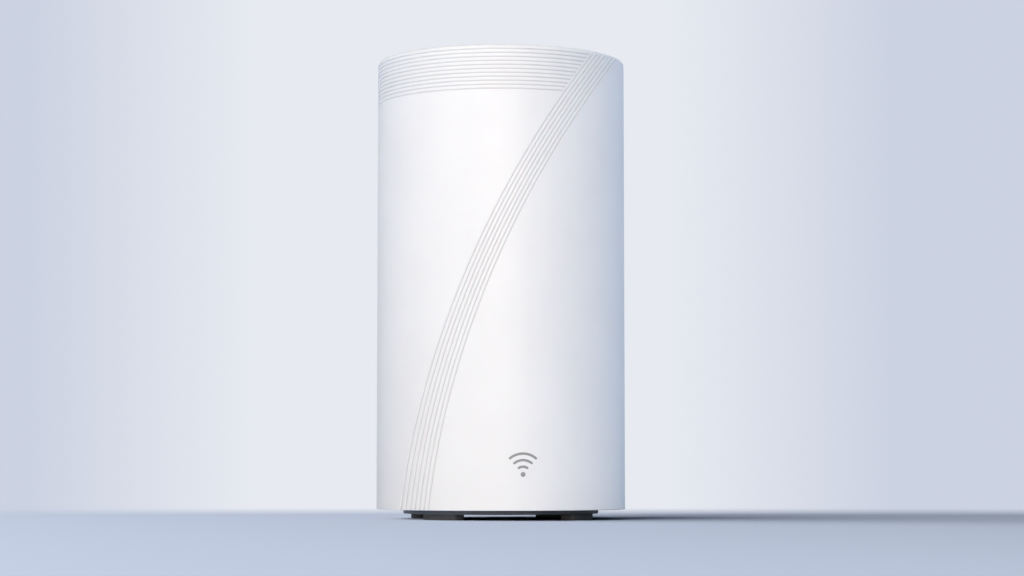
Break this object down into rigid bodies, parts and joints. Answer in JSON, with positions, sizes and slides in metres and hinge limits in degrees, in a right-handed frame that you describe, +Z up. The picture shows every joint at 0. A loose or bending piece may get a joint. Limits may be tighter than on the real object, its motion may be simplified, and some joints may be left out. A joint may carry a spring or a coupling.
{
  "type": "mesh wifi node",
  "caption": "Upright cylindrical mesh wifi node: grooved white casing on a dark recessed foot, rear port bay, vented top with a fan, finned board assembly inside.",
  "frame": {"origin": "on the casing's axis, in the plane the rubber feet rest on", "axes": "+Z up, -Y towards the front pictogram, +Y towards the port bay, +X to the right seen from the front"},
  "size_m": [0.128, 0.128, 0.236],
  "materials": {
    "casing_white": "satin moulded white",
    "grille_white": "satin moulded white",
    "badge_grey": "printed mid grey",
    "base_grey": "fine matte charcoal",
    "feet_rubber": "soft matte",
    "label_silver": "blank silver film",
    "bezel_grey": "fine matte light grey",
    "button_grey": "satin",
    "button_black": "satin",
    "light_guide_clear": "frosted clear",
    "frame_black": "moulded black",
    "fan_black": "moulded black",
    "rotor_black": "moulded black",
    "socket_black": "moulded black",
    "tongue_blue": "moulded blue",
    "switch_black": "moulded black",
    "header_ivory": "moulded ivory",
    "board_green": "solder mask",
    "antenna_board": "solder mask",
    "chip_black": "epoxy",
    "coil_grey": "pressed ferrite",
    "pad_grey": "soft silicone",
    "cable_grey": "coax jacket",
    "cable_black": "wire jacket",
    "gold_plate": "plated",
    "nickel": "nickel plated",
    "tin_steel": "tin plated",
    "heat_sink_aluminium": "extruded",
    "capacitor_can": "sleeved can",
    "led_white": "clear epoxy",
    "bronze": "sintered",
    "shaft_steel": "ground",
    "magnet_grey": "bonded ferrite",
    "stator_steel": "laminated",
    "copper_wire": "enamelled wire",
    "screw_steel": "zinc plated"
  },
  "bodies": {
    "casing": {"outer_shell": "casing_white", "top_grille": "grille_white", "front_badge": "badge_grey", "base_housing": "base_grey", "rubber_feet": "feet_rubber", "base_label": "label_silver", "port_bezel": "bezel_grey", "light_guide": "light_guide_clear", "inner_frame": "frame_black", "fan_housing": "fan_black", "ethernet_bodies": "socket_black", "power_jack": "socket_black", "usb_tongue": "tongue_blue", "sfp_connector": "socket_black", "pair_switch": "switch_black", "reset_switch": "switch_black", "cable_headers": "header_ivory", "main_board": "board_green", "status_board": "board_green", "antennas": "antenna_board", "main_chips": "chip_black", "lan_transformers": "chip_black", "power_coils": "coil_grey", "thermal_pads": "pad_grey", "antenna_cables": "cable_grey", "fan_cable": "cable_black", "status_cable": "cable_black", "antenna_plugs": "gold_plate", "ethernet_contacts": "gold_plate", "power_jack_pin": "nickel", "ethernet_shields": "tin_steel", "usb_shield": "tin_steel", "sfp_cage": "tin_steel", "rf_shields": "tin_steel", "heat_sink_right": "heat_sink_aluminium", "heat_sink_left": "heat_sink_aluminium", "capacitors": "capacitor_can", "status_led": "led_white", "fan_bearing": "bronze", "fan_stator": "stator_steel", "fan_coils": "copper_wire", "base_screws": "screw_steel", "bezel_screw": "screw_steel", "shell_screws": "screw_steel", "heat_sink_screws": "screw_steel", "status_board_screws": "screw_steel", "fan_screws": "screw_steel"},
    "fan": {"fan_rotor": "rotor_black", "fan_shaft": "shaft_steel", "fan_magnet": "magnet_grey"},
    "pairing_button": {"pair_button": "button_grey"},
    "reset_plunger": {"reset_button": "button_black"}
  },
  "joints": [
    {"name": "fan_spin", "type": "hinge", "parent": "casing", "child": "fan", "pos_m": [0, 0, 0.2145], "axis": [0, 0, 1], "continuous": true},
    {"name": "pair_button_press", "type": "slide", "parent": "casing", "child": "pairing_button", "axis": [0, -1, 0], "range_m": [0, 0.0008]},
    {"name": "reset_button_press", "type": "slide", "parent": "casing", "child": "reset_plunger", "axis": [0, 0, 1], "range_m": [0, 0.0005]}
  ]
}
